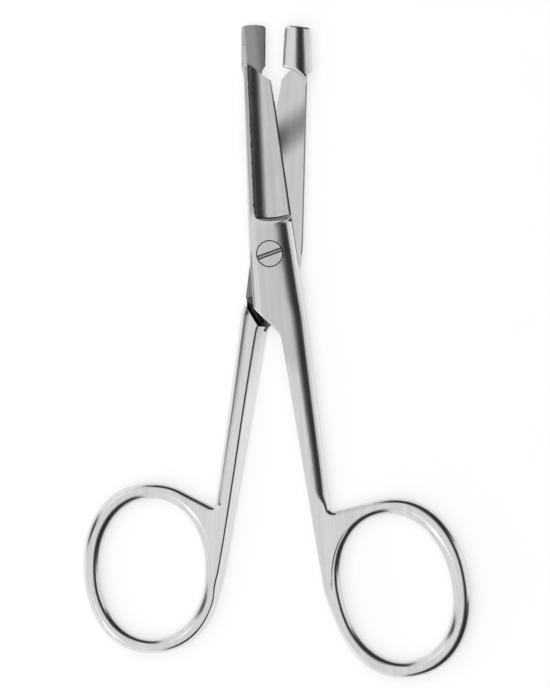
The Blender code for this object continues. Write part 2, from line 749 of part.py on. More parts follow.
def finished(obj, material):
    """Applies the cuts, drops the cutters, and shades the result smooth between its sharp edges."""
    graph = bpy.context.evaluated_depsgraph_get()
    mesh = bpy.data.meshes.new_from_object(obj.evaluated_get(graph))
    cutters = [modifier.object for modifier in obj.modifiers]
    obj.modifiers.clear()
    obj.data = mesh
    for other in cutters:
        bpy.data.objects.remove(other, do_unlink=True)
    mesh.materials.clear()
    mesh.materials.append(material)
    mesh.shade_smooth()
    mesh.set_sharp_from_angle(angle=SHARP_ANGLE)
    return obj


def build():
    clear_scene()
    forged_steel = steel("polished_steel", (0.62, 0.62, 0.61), 0.22)
    screw_steel = steel("screw_steel", (0.55, 0.55, 0.54), 0.30)
    lift = Matrix.Translation((0.0, 0.0, HALF_THICKNESS))
    turned_over = Matrix.Rotation(math.pi, 4, "Y")
    front = finished(forged_half(front_sizes, "front_half", True), forged_steel)
    front.matrix_world = lift @ Matrix.Rotation(REST_OPENING / 2, 4, "Z")
    rear = finished(forged_half(rear_sizes, "rear_half", False), forged_steel)
    rear.matrix_world = lift @ Matrix.Rotation(-REST_OPENING / 2, 4, "Z") @ turned_over
    screw = finished(pivot_screw(), screw_steel)
    screw.matrix_world = lift


build()
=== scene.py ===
"""Suture scissors lying open on a white table, seen from straight above.

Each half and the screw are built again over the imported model, in the same frame and at the same
sizes, with finer meshes and a fine knurl. Metres, +Z up.
"""
import math
from types import SimpleNamespace

import bmesh
import bpy
import numpy as np
from mathutils import Matrix, Vector


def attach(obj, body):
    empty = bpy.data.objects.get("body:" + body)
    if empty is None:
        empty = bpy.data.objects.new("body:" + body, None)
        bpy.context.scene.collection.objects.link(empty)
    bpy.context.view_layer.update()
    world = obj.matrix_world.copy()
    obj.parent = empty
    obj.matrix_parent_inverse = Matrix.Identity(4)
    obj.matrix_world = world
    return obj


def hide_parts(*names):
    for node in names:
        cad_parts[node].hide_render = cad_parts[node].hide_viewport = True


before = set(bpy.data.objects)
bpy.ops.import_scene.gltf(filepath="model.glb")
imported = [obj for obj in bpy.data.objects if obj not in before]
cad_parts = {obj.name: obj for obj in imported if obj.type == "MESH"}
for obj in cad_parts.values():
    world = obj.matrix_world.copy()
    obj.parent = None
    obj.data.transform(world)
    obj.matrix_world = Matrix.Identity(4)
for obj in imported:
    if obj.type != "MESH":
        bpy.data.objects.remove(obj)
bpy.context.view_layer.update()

# Whole tool
REST_OPENING = math.radians(8.0)
JOINT_THICKNESS = 0.0048
RING_HEIGHT = 0.0044
LAP_GAP = 0.0003

# Blades
EDGE_THICKNESS = 0.0004
HOLLOW_SLOPE = 0.44
BLADE_SLOPE = 0.11
HOLLOW_WIDTH = 0.0034
EDGE_BEVEL_WIDTH = 0.0004
EDGE_BEVEL_SLOPE = 0.40
EDGE_STEEP_SLOPE = 2.4
EDGE_STEEP_SHARE = 0.8
GRIND_RUNOUT = 0.0013
GRIND_BOW = 0.0007
GRIND_CLEARANCE = 0.0004
SPINE_ROUNDING = 0.0009
EDGE_ROUNDING = 0.0001
CORNER_ROUNDING = 0.0003
BLADE_END_ROUNDING = 0.0006

# Shanks and rings
JOINT_SIDE_ROUNDING = 0.0058
JOINT_ROUNDING_START = 0.0010
SHANK_UPPER_ROUNDING = 0.0050
SHANK_LOWER_ROUNDING = 0.0028
CROTCH_UPPER_ROUNDING = 0.0040
CROTCH_RUN = 0.12
INNER_FACE_SLANT = 0.0030
HEEL_FACE_SLANT = 0.0020
RING_FACE_SLANT = 0.0013
SLANT_FADE = math.radians(105.0)
INNER_UPPER_ROUNDING = 0.0009
INNER_LOWER_ROUNDING = 0.0004
RING_FLAT = 0.0002
HOLE_ROUNDING_SHARE = 0.55
RING_SQUARENESS = 2.18
HOLE_SQUARENESS = 2.08
ROUNDING_HEIGHT = 1.05
ROUNDING_LIMIT = 0.97
JOINT_CORNER_RADIUS = 0.0030
JOINT_FOOT_RADIUS = 0.0007
CROOK_RADIUS = 0.0024
HEEL_RADIUS = 0.0350
SPINE_BEND_RADIUS = 0.0600
LAP_RISE = math.radians(35.0)
RELIEF_WIDTH = 0.0028
RELIEF_DEPTH = 0.00107
RELIEF_SEAT = 0.0001
SHOULDER_BEND_RADIUS = 0.0080
FILLET_REACH = 0.48
EDGE_TIP_RADIUS = 0.0030
CROTCH_RADIUS = 0.0009
TAPER_START_Y = -0.0250
TAPER_END_Y = -0.0560

# Holding pads
PAD_SIDE_HEIGHT = 0.0007
PAD_CREST = 0.68
PAD_INNER_FALL = 0.30
PAD_SIDE_ROUNDING = 0.0004
PAD_END_CHAMFER = 0.0007
PAD_END_FALL = 0.6
PAD_TIP_ARCH = 0.0003
PAD_CORNER_RADIUS = 0.0008
PAD_FACE_ROUNDING = 0.0003
NECK_DEPTH = 0.0014
NECK_SEAT = 0.0002
KNURL_STEP = 0.0001
KNURL_PITCH = 0.00078
KNURL_DEPTH = 0.00009
KNURL_MARGIN = 0.0003

# Pivot screw
HEAD_DIAMETER = 0.0059
HEAD_RIM_HEIGHT = 0.0006
SCREW_DIAMETER = 0.0034
SCREW_CLEARANCE = 0.00025
SLOT_WIDTH = 0.0012
SLOT_FLOOR_WIDTH = 0.0004
SLOT_DEPTH = 0.0006
SLOT_CLEARANCE = 0.0001
SLOT_ANGLE = math.radians(20.0)

# Fineness of the meshes
ARC_STEP = math.radians(4.0)
LINE_STEP = 0.0015
RING_STEPS = 180
TANGENT_TRIES = 1440
ROUNDING_ROWS = 12
GRIND_COLUMNS = 28
GRIND_STATIONS = 24
RUNOUT_STEPS = 18
TURNED_STEPS = 128
SHARP_ANGLE = math.radians(32.0)

HALF_THICKNESS = JOINT_THICKNESS / 2
FACE_Z = LAP_GAP / 2
BEYOND = 0.004
WIDE = 0.020

# The plan of each half, seen from its outer face, with the hinge at the origin
front_sizes = SimpleNamespace(
    spine_tip=(-0.00306, 0.04640),
    spine_root=(-0.00476, 0.00200),
    joint_corner=(-0.00475, -0.00200),
    joint_foot=(-0.00468, -0.01270),
    crook=(0.00098, -0.01960),
    heel=(0.00724, -0.08270),
    crotch=(0.01035, -0.06205),
    joint_side=(0.00795, -0.01600),
    joint_waist=(0.00725, -0.00900),
    edge_root=(0.00580, 0.00830),
    edge_tip=(0.00345, 0.03965),
    shoulder=(0.00310, 0.04100),
    notch=(0.00115, 0.04247),
    land_tip=0.0010,
    land_root=0.0015,
    hole_centre=(0.02463, -0.08111),
    hole_length=0.0351,
    hole_width=0.0257,
    hole_tilt=math.radians(10.3),
    ring_centre=(0.02515, -0.08127),
    ring_length=0.0430,
    ring_width=0.0336,
    ring_tilt=math.radians(7.6),
    lap_outer=(0.00600, -0.01190),
    lap_inner=(0.00250, -0.01730),
    relief_run=-0.0028,
    pad_tip_outer=(-0.00290, 0.05440),
    pad_tip_inner=(0.00288, 0.05400),
    pad_low_outer=(-0.00352, 0.04490),
    pad_low_spine=(-0.00322, 0.04230),
    pad_low_root=(0.00110, 0.04230),
    pad_low_bend=(0.00130, 0.04340),
    pad_low_inner=(0.00219, 0.04460),
)
rear_sizes = SimpleNamespace(
    spine_tip=(-0.00585, 0.04600),
    spine_root=(-0.00782, 0.00150),
    joint_corner=(-0.00765, -0.00200),
    joint_foot=(-0.00530, -0.01260),
    crook=(-0.00120, -0.01840),
    heel=(0.00490, -0.07700),
    crotch=(0.00850, -0.06090),
    joint_side=(0.00560, -0.01400),
    joint_waist=(0.00495, -0.01210),
    edge_root=(0.00400, 0.00830),
    edge_tip=(0.00012, 0.03990),
    shoulder=(0.00005, 0.04130),
    notch=(-0.00134, 0.04330),
    land_tip=0.0010,
    land_root=0.0015,
    hole_centre=(0.02240, -0.07648),
    hole_length=0.0331,
    hole_width=0.0249,
    hole_tilt=math.radians(-4.9),
    ring_centre=(0.02236, -0.07639),
    ring_length=0.0406,
    ring_width=0.0328,
    ring_tilt=math.radians(-7.5),
    lap_outer=(0.00520, -0.01230),
    lap_inner=(0.00160, -0.01740),
    relief_run=0.0008,
    pad_tip_outer=(-0.00608, 0.05411),
    pad_tip_inner=(0.00017, 0.05427),
    pad_low_outer=(-0.00698, 0.04420),
    pad_low_spine=(-0.00585, 0.04195),
    pad_low_root=(-0.00410, 0.04300),
    pad_low_bend=(-0.00285, 0.04370),
    pad_low_inner=(0.00007, 0.04427),
)


def object_from(bm, name):
    bmesh.ops.recalc_face_normals(bm, faces=bm.faces)
    mesh = bpy.data.meshes.new(name)
    bm.to_mesh(mesh)
    bm.free()
    obj = bpy.data.objects.new(name, mesh)
    bpy.context.collection.objects.link(obj)
    return obj


def cutter(bm, name):
    obj = object_from(bm, name)
    obj.hide_render = True
    obj.display_type = "WIRE"
    return obj


def combine(obj, other, operation):
    modifier = obj.modifiers.new(other.name, "BOOLEAN")
    modifier.operation = operation
    modifier.solver = "EXACT"
    modifier.object = other


def prism(outline, low, high):
    """A closed block on a plan outline, between two heights."""
    bm = bmesh.new()
    base = [bm.verts.new((x, y, low)) for x, y in outline]
    face = bm.faces.new(base)
    raised = bmesh.ops.extrude_face_region(bm, geom=[face])
    tops = [item for item in raised["geom"] if isinstance(item, bmesh.types.BMVert)]
    bmesh.ops.translate(bm, vec=(0.0, 0.0, high - low), verts=tops)
    return bm


def turned(profile, steps):
    """A solid of revolution about Z; the profile of (radius, z) starts and ends on the axis."""
    bm = bmesh.new()
    rows = []
    for radius, z in profile:
        if radius == 0.0:
            rows.append([bm.verts.new((0.0, 0.0, z))])
            continue
        angles = [2 * math.pi * i / steps for i in range(steps)]
        rows.append([bm.verts.new((radius * math.cos(a), radius * math.sin(a), z)) for a in angles])
    for lower, upper in zip(rows, rows[1:]):
        for i in range(steps):
            j = (i + 1) % steps
            corners = [lower[i % len(lower)], lower[j % len(lower)]]
            corners += [upper[j % len(upper)], upper[i % len(upper)]]
            bm.faces.new(list(dict.fromkeys(corners)))
    return bm


def oval_point(centre, width, length, tilt, squareness, angle):
    """A point of an oval a little fuller than an ellipse."""
    cosine = math.cos(angle)
    sine = math.sin(angle)
    across = width / 2 * math.copysign(abs(cosine) ** (2 / squareness), cosine)
    along = length / 2 * math.copysign(abs(sine) ** (2 / squareness), sine)
    x = centre[0] + across * math.cos(tilt) - along * math.sin(tilt)
    y = centre[1] + across * math.sin(tilt) + along * math.cos(tilt)
    return (x, y)


def hole_point(half, angle):
    size = (half.hole_width, half.hole_length, half.hole_tilt)
    return oval_point(half.hole_centre, *size, HOLE_SQUARENESS, angle)


def ring_point(half, angle):
    size = (half.ring_width, half.ring_length, half.ring_tilt)
    return oval_point(half.ring_centre, *size, RING_SQUARENESS, angle)


def tangent_angle(half, point, side):
    """The angle at which a line from a point outside touches the ring's outer edge."""
    toward = math.atan2(half.ring_centre[1] - point[1], half.ring_centre[0] - point[0])
    best = 0.0
    result = 0.0
    for k in range(TANGENT_TRIES):
        angle = 2 * math.pi * k / TANGENT_TRIES
        x, y = ring_point(half, angle)
        off = math.remainder(math.atan2(y - point[1], x - point[0]) - toward, 2 * math.pi)
        if side * off > best:
            best = side * off
            result = angle
    return result


def filleted(corners):
    """The points of a line through corners of (point, radius, edge), with an arc at each radius."""
    points = []
    for i, (corner, radius, edge) in enumerate(corners):
        if radius == 0.0 or i in (0, len(corners) - 1):
            points.append(np.array([*corner, *edge]))
            continue
        here = np.array(corner)
        back = np.array(corners[i - 1][0]) - here
        ahead = np.array(corners[i + 1][0]) - here
        room = FILLET_REACH * min(np.linalg.norm(back), np.linalg.norm(ahead))
        back /= np.linalg.norm(back)
        ahead /= np.linalg.norm(ahead)
        half = math.acos(max(-1.0, min(1.0, float(back @ ahead)))) / 2
        reach = min(radius / math.tan(half), room)
        radius = reach * math.tan(half)
        middle = (back + ahead) / np.linalg.norm(back + ahead)
        centre = here + middle * radius / math.sin(half)
        start = here + back * reach - centre
        turn = math.pi - 2 * half
        if back[0] * ahead[1] - back[1] * ahead[0] > 0:
            turn = -turn
        steps = max(2, math.ceil(abs(turn) / ARC_STEP))
        for k in range(steps + 1):
            a = turn * k / steps
            x = centre[0] + start[0] * math.cos(a) - start[1] * math.sin(a)
            y = centre[1] + start[0] * math.sin(a) + start[1] * math.cos(a)
            points.append(np.array([x, y, *edge]))
    return points


def divided(points):
    """The same line with no straight stretch longer than the line step, its edges blended."""
    result = []
    for first, second in zip(points, points[1:]):
        length = np.linalg.norm(second[:2] - first[:2])
        steps = max(1, math.ceil(length / LINE_STEP))
        for k in range(steps):
            place = first + (second - first) * k / steps
            place[2:] = first[2:] + (second[2:] - first[2:]) * eased(k / steps)
            result.append(place)
    result.append(points[-1])
    return result


def eased(share):
    share = min(1.0, max(0.0, share))
    return share * share * (3 - 2 * share)


def ring_edge(half, angle, share):
    """The edge of a ring there: a rounding that takes a share of its band, and no slant."""
    rounding = (math.dist(ring_point(half, angle), hole_point(half, angle)) - RING_FLAT) * share
    return np.array([rounding, rounding, 0.0])


def half_outline(half):
    """The plan of a half, anticlockwise.

    Each point carries its edge: the rounding at the outer face and at the lap face, and how far the
    side slants inward between them.
    """
    slanted = np.array([INNER_UPPER_ROUNDING, INNER_LOWER_ROUNDING, RING_FACE_SLANT])
    keen = (EDGE_ROUNDING, EDGE_ROUNDING, 0.0)
    corner = (CORNER_ROUNDING, CORNER_ROUNDING, 0.0)
    end = (BLADE_END_ROUNDING, EDGE_ROUNDING, 0.0)
    spine = (SPINE_ROUNDING, SPINE_ROUNDING, 0.0)
    shank = (SHANK_UPPER_ROUNDING, SHANK_LOWER_ROUNDING, 0.0)
    joint = (JOINT_SIDE_ROUNDING, JOINT_SIDE_ROUNDING, 0.0)
    heel = (INNER_UPPER_ROUNDING, INNER_LOWER_ROUNDING, HEEL_FACE_SLANT)
    side = math.dist(half.edge_root, half.joint_waist)
    joint_top = along([half.edge_root, half.joint_waist], JOINT_ROUNDING_START / side)
    start_angle = tangent_angle(half, half.heel, -1)
    end_angle = tangent_angle(half, half.crotch, 1) + 2 * math.pi
    end_edge = ring_edge(half, end_angle, 1 - HOLE_ROUNDING_SHARE)
    crotch_top = along([half.crotch, half.joint_side], CROTCH_RUN)
    left = filleted([
        (half.notch, 0.0, end),
        (half.spine_tip, SPINE_ROUNDING, end),
        (half.spine_root, SPINE_BEND_RADIUS, spine),
        (half.joint_corner, JOINT_CORNER_RADIUS, corner),
        (half.joint_foot, JOINT_FOOT_RADIUS, corner),
        (half.crook, CROOK_RADIUS, (INNER_UPPER_ROUNDING, INNER_LOWER_ROUNDING, INNER_FACE_SLANT)),
        (half.heel, HEEL_RADIUS, heel),
        (ring_point(half, start_angle), 0.0, slanted),
    ])
    steps = math.ceil(RING_STEPS * (end_angle - start_angle) / (2 * math.pi))
    ring = []
    for k in range(1, steps):
        angle = start_angle + (end_angle - start_angle) * k / steps
        edge = ring_edge(half, angle, 1 - HOLE_ROUNDING_SHARE)
        edge = slanted + (edge - slanted) * eased((angle - start_angle) / SLANT_FADE)
        ring.append(np.array([*ring_point(half, angle), *edge]))
    right = filleted([
        (ring_point(half, end_angle), 0.0, end_edge),
        (half.crotch, CROTCH_RADIUS, end_edge),
        (crotch_top, 0.0, (CROTCH_UPPER_ROUNDING, end_edge[1], 0.0)),
        (half.joint_side, SHOULDER_BEND_RADIUS, shank),
        (half.joint_waist, SHOULDER_BEND_RADIUS, joint),
        (joint_top, 0.0, joint),
        (half.edge_root, 0.0, keen),
        (half.edge_tip, EDGE_TIP_RADIUS, keen),
        (half.shoulder, 0.0, keen),
        (half.notch, 0.0, end),
    ])
    return divided(left) + ring + divided(right)[:-1]


def hole_outline(half):
    """The finger hole, clockwise, with its edge."""
    points = []
    for k in range(RING_STEPS):
        angle = -2 * math.pi * k / RING_STEPS
        edge = ring_edge(half, angle, HOLE_ROUNDING_SHARE)
        points.append(np.array([*hole_point(half, angle), *edge]))
    return points


def inset_directions(outline):
    """For each point of a closed line, the step into the material that moves its edges in by one."""
    directions = []
    for i, point in enumerate(outline):
        before = outline[i - 1][:2]
        here = point[:2]
        after = outline[(i + 1) % len(outline)][:2]
        first = (here - before) / np.linalg.norm(here - before)
        second = (after - here) / np.linalg.norm(after - here)
        normal = np.array([-first[1] - second[1], first[0] + second[0]])
        normal /= np.linalg.norm(normal)
        directions.append(normal / (normal[0] * -first[1] + normal[1] * first[0]))
    return directions


def rounded_rows(bm, outline):
    """The edge of a plate: rows of vertices from its lower face round to its upper face."""
    directions = inset_directions(outline)
    rows = []
    angles = [math.pi / 2 * k / ROUNDING_ROWS for k in range(ROUNDING_ROWS + 1)]
    levels = [(-1, a) for a in reversed(angles)] + [(1, a) for a in angles]
    for side, angle in levels:
        row = []
        for (x, y, upper, lower, slant), direction in zip(outline, directions):
            rounding = upper if side > 0 else lower
            height = min(rounding * ROUNDING_HEIGHT, HALF_THICKNESS * ROUNDING_LIMIT)
            z = side * (HALF_THICKNESS - height * (1 - math.sin(angle)))
            inset = rounding * (1 - math.cos(angle)) + slant * (HALF_THICKNESS - z) / JOINT_THICKNESS
            row.append(bm.verts.new((x + direction[0] * inset, y + direction[1] * inset, z)))
        rows.append(row)
    return rows


def taper(y):
    """How thick the forging is at a place along it, as a share of the joint's thickness."""
    share = eased((TAPER_START_Y - y) / (TAPER_START_Y - TAPER_END_Y))
    return 1 + (RING_HEIGHT / JOINT_THICKNESS - 1) * share


def forged_blank(half, name):
    """The whole half at full thickness, with its ring, before the lap and the grinds are cut."""
    bm = bmesh.new()
    faces_at = {0: [], -1: []}
    for outline in (half_outline(half), hole_outline(half)):
        rows = rounded_rows(bm, outline)
        count = len(outline)
        for lower, upper in zip(rows, rows[1:]):
            for i in range(count):
                j = (i + 1) % count
                bm.faces.new((lower[i], lower[j], upper[j], upper[i]))
        for level in faces_at:
            row = rows[level]
            faces_at[level] += [bm.edges.get((row[i], row[i - 1])) for i in range(count)]
    for edges in faces_at.values():
        bmesh.ops.triangle_fill(bm, use_beauty=True, use_dissolve=False, edges=edges)
    for vert in bm.verts:
        vert.co.z *= taper(vert.co.y)
    return object_from(bm, name)


def lap_cutter(half, name):
    """What the other half's lap needs: everything under the lap plane, above the shoulder wall."""
    neck = [half.pad_low_inner, half.pad_low_bend, half.pad_low_root, half.pad_low_spine]
    wall = [half.lap_inner, half.lap_outer]
    outline = [(x, y + NECK_SEAT) for x, y in neck]
    outline = [(WIDE, outline[0][1])] + outline + [(-WIDE, outline[-1][1])]
    outline += [(-WIDE, half.lap_inner[1])] + wall
    outline.append((half.lap_outer[0] + WIDE, half.lap_outer[1] + WIDE * math.tan(LAP_RISE)))
    return cutter(prism(outline, -HALF_THICKNESS - BEYOND, FACE_Z), name)


def relief_cutter(half, name):
    """A relief in the lap face, deepest at the shoulder wall, which runs out toward the screw."""
    start = np.array(half.lap_inner)
    way = np.array(half.lap_outer) - start
    length = np.linalg.norm(way)
    way /= length
    inward = np.array([-way[1], way[0]])
    section = [(RELIEF_SEAT, RELIEF_DEPTH), (RELIEF_WIDTH, -RELIEF_SEAT)]
    bm = bmesh.new()
    lower = []
    upper = []
    for reach in (RELIEF_SEAT, length + half.relief_run):
        line = []
        for off, depth in section:
            slip = -inward[1] * off / way[1] if reach < length else 0.0
            x, y = start + way * (reach + slip) + inward * off
            line.append((x, y, FACE_Z + depth))
        lower.append([bm.verts.new((x, y, -HALF_THICKNESS)) for x, y, _ in line])
        upper.append([bm.verts.new(place) for place in line])
    close_grid(bm, lower, upper)
    return cutter(bm, name)


def neck_cutter(half, name):
    """Thins the neck from below, where it carries the pad."""
    low = half.pad_low_spine[1] - BEYOND
    high = half.spine_tip[1] + BEYOND
    outline = [(-WIDE, low), (WIDE, low), (WIDE, high), (-WIDE, high)]
    return cutter(prism(outline, -HALF_THICKNESS - BEYOND, -NECK_DEPTH), name)


def spine_at(half, y):
    root = half.spine_root
    tip = half.spine_tip
    return float(np.interp(y, (root[1], tip[1]), (root[0], tip[0])))


def edge_at(half, y):
    root = half.edge_root
    tip = half.edge_tip
    slope = (tip[0] - root[0]) / (tip[1] - root[1])
    return root[0] + (y - root[1]) * slope


def hollow_drop(u, width):
    """How far the ground face has dropped at a share of its width, for a face of width one."""
    reach = min(1.0, HOLLOW_WIDTH / width)
    share = min(1.0, u / reach)
    steep = reach * (share - share ** 3 + share ** 4 / 2)
    return BLADE_SLOPE * u + (HOLLOW_SLOPE - BLADE_SLOPE) * steep


def grind_cutter(half, name):
    """The hollow grind: a shallow hollow from the spine's land down to the edge, run out at the root."""
    root_y = half.edge_root[1]
    tip_y = half.spine_tip[1] + BEYOND
    runout = np.linspace(0.0, 1.0, RUNOUT_STEPS, endpoint=False)
    stations = [(root_y + GRIND_RUNOUT * s, quarter(s, 1.0)) for s in runout]
    stations += [(y, 0.0) for y in np.linspace(root_y + GRIND_RUNOUT, tip_y, GRIND_STATIONS)]
    clear = HALF_THICKNESS + GRIND_CLEARANCE
    top = clear + BEYOND
    bm = bmesh.new()
    lower = []
    upper = []
    for y, rise in stations:
        share = (y - root_y) / (half.spine_tip[1] - root_y)
        land = half.land_root + (half.land_tip - half.land_root) * share
        inner = spine_at(half, y) + land
        outer = edge_at(half, y) + EDGE_ROUNDING
        bend = GRIND_BOW * max(0.0, 1 - (y - root_y) / (4 * GRIND_RUNOUT))
        width = outer - inner
        places = [(inner - GRIND_CLEARANCE, y, clear)]
        for u in np.linspace(0.0, 1 - EDGE_BEVEL_WIDTH / width, GRIND_COLUMNS + 1):
            ground = max(EDGE_THICKNESS, HALF_THICKNESS - width * hollow_drop(u, width))
            place = (inner + width * u, y - bend * 4 * u * (1 - u), ground + (clear - ground) * rise)
            places.append(place)
        left = ground - EDGE_THICKNESS - EDGE_BEVEL_SLOPE * EDGE_BEVEL_WIDTH
        steep = max(0.0, left / (EDGE_STEEP_SLOPE - EDGE_BEVEL_SLOPE))
        steep = min(EDGE_STEEP_SHARE * EDGE_BEVEL_WIDTH, steep)
        turn = max(EDGE_THICKNESS, ground - EDGE_BEVEL_SLOPE * (EDGE_BEVEL_WIDTH - steep))
        places.append((outer - steep - FINE, y, turn + (clear - turn) * rise))
        places.append((outer, y, EDGE_THICKNESS + (clear - EDGE_THICKNESS) * rise))
        places.append((outer + GRIND_CLEARANCE, y, places[-1][2]))
        lower.append([bm.verts.new(place) for place in places])
        upper.append([bm.verts.new((x, y, top)) for x, y, _ in places])
    close_grid(bm, lower, upper)
    return cutter(bm, name)


def close_grid(bm, lower, upper):
    """Faces on two grids of vertices that lie over each other, and round their four sides."""
    for grid in (lower, upper):
        for first, second in zip(grid, grid[1:]):
            for i in range(len(first) - 1):
                bm.faces.new((first[i], first[i + 1], second[i + 1], second[i]))
    rims = [(lower[0], upper[0]), (lower[-1], upper[-1])]
    rims.append(([row[0] for row in lower], [row[0] for row in upper]))
    rims.append(([row[-1] for row in lower], [row[-1] for row in upper]))
    for low, high in rims:
        for i in range(len(low) - 1):
            bm.faces.new((low[i], low[i + 1], high[i + 1], high[i]))


def along(points, share):
    """The place at a share of a bent line's length."""
    points = np.array(points)
    steps = np.linalg.norm(np.diff(points, axis=0), axis=1)
    reached = np.concatenate([[0.0], np.cumsum(steps)]) / steps.sum()
    x = np.interp(share, reached, points[:, 0])
    y = np.interp(share, reached, points[:, 1])
    return np.array([x, y])


def pad_place(half, u, t):
    """A point of the pad's plan: u goes from the spine side to the inner side, t from low to tip."""
    outer = [half.pad_low_spine, half.pad_low_outer, half.pad_tip_outer]
    inner = [half.pad_low_inner, half.pad_tip_inner]
    low = [half.pad_low_spine, half.pad_low_root, half.pad_low_bend, half.pad_low_inner]
    tip = along([half.pad_tip_outer, half.pad_tip_inner], u)
    side = min(u, 1 - u) * math.dist(half.pad_tip_outer, half.pad_tip_inner)
    tip[1] += PAD_TIP_ARCH * 4 * u * (1 - u)
    tip[1] -= PAD_CORNER_RADIUS * quarter(side, PAD_CORNER_RADIUS)
    sides = (1 - u) * along(outer, t) + u * along(inner, t)
    ends = (1 - t) * along(low, u) + t * tip
    corners = (1 - u) * (1 - t) * np.array(half.pad_low_spine)
    corners += u * (1 - t) * np.array(half.pad_low_inner)
    corners += (1 - u) * t * np.array(half.pad_tip_outer)
    corners += u * t * np.array(half.pad_tip_inner)
    return sides + ends - corners


def across_at(low, high, y):
    """Where a straight side through two points stands at a height of the plan."""
    return low[0] + (y - low[1]) * (high[0] - low[0]) / (high[1] - low[1])


def pad_across(half, x, y):
    """How far across the pad a place lies, and how far in from its cut corner.

    The first is a share of the way between the pad's straight sides.
    """
    outer = across_at(half.pad_low_outer, half.pad_tip_outer, y)
    inner = across_at(half.pad_low_inner, half.pad_tip_inner, y)
    way = np.array(half.pad_low_spine) - np.array(half.pad_low_outer)
    off = np.array((x, y)) - np.array(half.pad_low_outer)
    cut = (way[0] * off[1] - way[1] * off[0]) / np.linalg.norm(way)
    return min(1.0, max(0.0, (x - outer) / (inner - outer))), max(0.0, cut)


def quarter(distance, reach):
    """One at a rounded edge, falling to nothing along a quarter circle within its reach."""
    share = min(1.0, distance / reach)
    return 1 - math.sqrt(1 - (1 - share) ** 2)


def diamond(x, y):
    """Nothing at the peaks of a knurl of crossed grooves, and one along its grooves."""
    first = abs(2 * ((x + y) / KNURL_PITCH % 1.0) - 1)
    second = abs(2 * ((x - y) / KNURL_PITCH % 1.0) - 1)
    return max(first, second)


def holding_pad(half, name):
    """The pad under the lap plane: a knurled face at the plane and a crowned back."""
    width = math.dist(half.pad_tip_outer, half.pad_tip_inner)
    length = math.dist(half.pad_low_outer, half.pad_tip_outer)
    columns = 2 * round(width / KNURL_STEP / 2)
    rows = 2 * round(length / KNURL_STEP / 2)
    bm = bmesh.new()
    face = []
    back = []
    for r in range(rows + 1):
        face_row = []
        back_row = []
        for c in range(columns + 1):
            u = c / columns
            t = r / rows
            x, y = pad_place(half, u, t)
            side = min(u, 1 - u) * width
            end = (1 - t) * length
            low_end = t * length
            edge = PAD_FACE_ROUNDING * quarter(min(side, end), PAD_FACE_ROUNDING)
            groove = KNURL_DEPTH * diamond(x, y)
            if min(side, end, low_end) < KNURL_MARGIN:
                groove = 0.0
            across, cut = pad_across(half, x, y)
            crown = 1 - PAD_INNER_FALL * ((across - PAD_CREST) / (1 - PAD_CREST)) ** 2
            if across < PAD_CREST:
                crown = 1 - ((PAD_CREST - across) / PAD_CREST) ** 2
            depth = PAD_SIDE_HEIGHT + (HALF_THICKNESS - PAD_SIDE_HEIGHT) * crown
            ease = quarter(min(end, low_end, cut), PAD_END_CHAMFER)
            depth -= (depth - PAD_SIDE_HEIGHT) * ease * PAD_END_FALL
            depth -= PAD_SIDE_ROUNDING * quarter(side, PAD_SIDE_ROUNDING)
            face_row.append(bm.verts.new((x, y, -FACE_Z - edge - groove)))
            back_row.append(bm.verts.new((x, y, -depth)))
        face.append(face_row)
        back.append(back_row)
    close_grid(bm, back, face)
    return cutter(bm, name)


def screw_profile(grow, top, bottom):
    """The screw's outline of (radius, z), or with a clearance the seat that takes it."""
    head = HEAD_DIAMETER / 2 + grow
    shank = SCREW_DIAMETER / 2 + grow
    rim = HALF_THICKNESS - HEAD_RIM_HEIGHT - grow
    cone = rim - (head - shank)
    return [(0.0, bottom), (shank, bottom), (shank, cone), (head, rim), (head, top), (0.0, top)]


def forged_half(half, name, headed):
    obj = forged_blank(half, name)
    combine(obj, lap_cutter(half, name + "_lap"), "DIFFERENCE")
    combine(obj, relief_cutter(half, name + "_relief"), "DIFFERENCE")
    combine(obj, neck_cutter(half, name + "_neck"), "DIFFERENCE")
    combine(obj, grind_cutter(half, name + "_grind"), "DIFFERENCE")
    combine(obj, holding_pad(half, name + "_pad"), "UNION")
    above = HALF_THICKNESS + BEYOND
    profile = screw_profile(SCREW_CLEARANCE, above, -above)
    if not headed:
        bore = SCREW_DIAMETER / 2 + SCREW_CLEARANCE
        profile = [(0.0, -above), (bore, -above), (bore, above), (0.0, above)]
    combine(obj, cutter(turned(profile, TURNED_STEPS), name + "_bore"), "DIFFERENCE")
    return obj


def pivot_screw(name):
    profile = screw_profile(0.0, HALF_THICKNESS, -HALF_THICKNESS)
    obj = object_from(turned(profile, TURNED_STEPS), name)
    above = HALF_THICKNESS + SLOT_CLEARANCE
    bottom = HALF_THICKNESS - SLOT_DEPTH
    section = [(-SLOT_FLOOR_WIDTH / 2, bottom), (SLOT_FLOOR_WIDTH / 2, bottom)]
    section += [(SLOT_WIDTH / 2, above), (-SLOT_WIDTH / 2, above)]
    slot = cutter(prism(section, -HEAD_DIAMETER, HEAD_DIAMETER), "screw_slot")
    slot.rotation_euler = (math.pi / 2, 0.0, SLOT_ANGLE - math.pi / 2)
    combine(obj, slot, "DIFFERENCE")
    return obj


def finished(obj, material):
    """Applies the cuts, drops the cutters, and shades the result smooth between its sharp edges."""
    graph = bpy.context.evaluated_depsgraph_get()
    mesh = bpy.data.meshes.new_from_object(obj.evaluated_get(graph))
    cutters = [modifier.object for modifier in obj.modifiers]
    obj.modifiers.clear()
    obj.data = mesh
    for other in cutters:
        bpy.data.objects.remove(other, do_unlink=True)
    mesh.materials.clear()
    mesh.materials.append(material)
    mesh.shade_smooth()
    mesh.set_sharp_from_angle(angle=SHARP_ANGLE)
    return obj


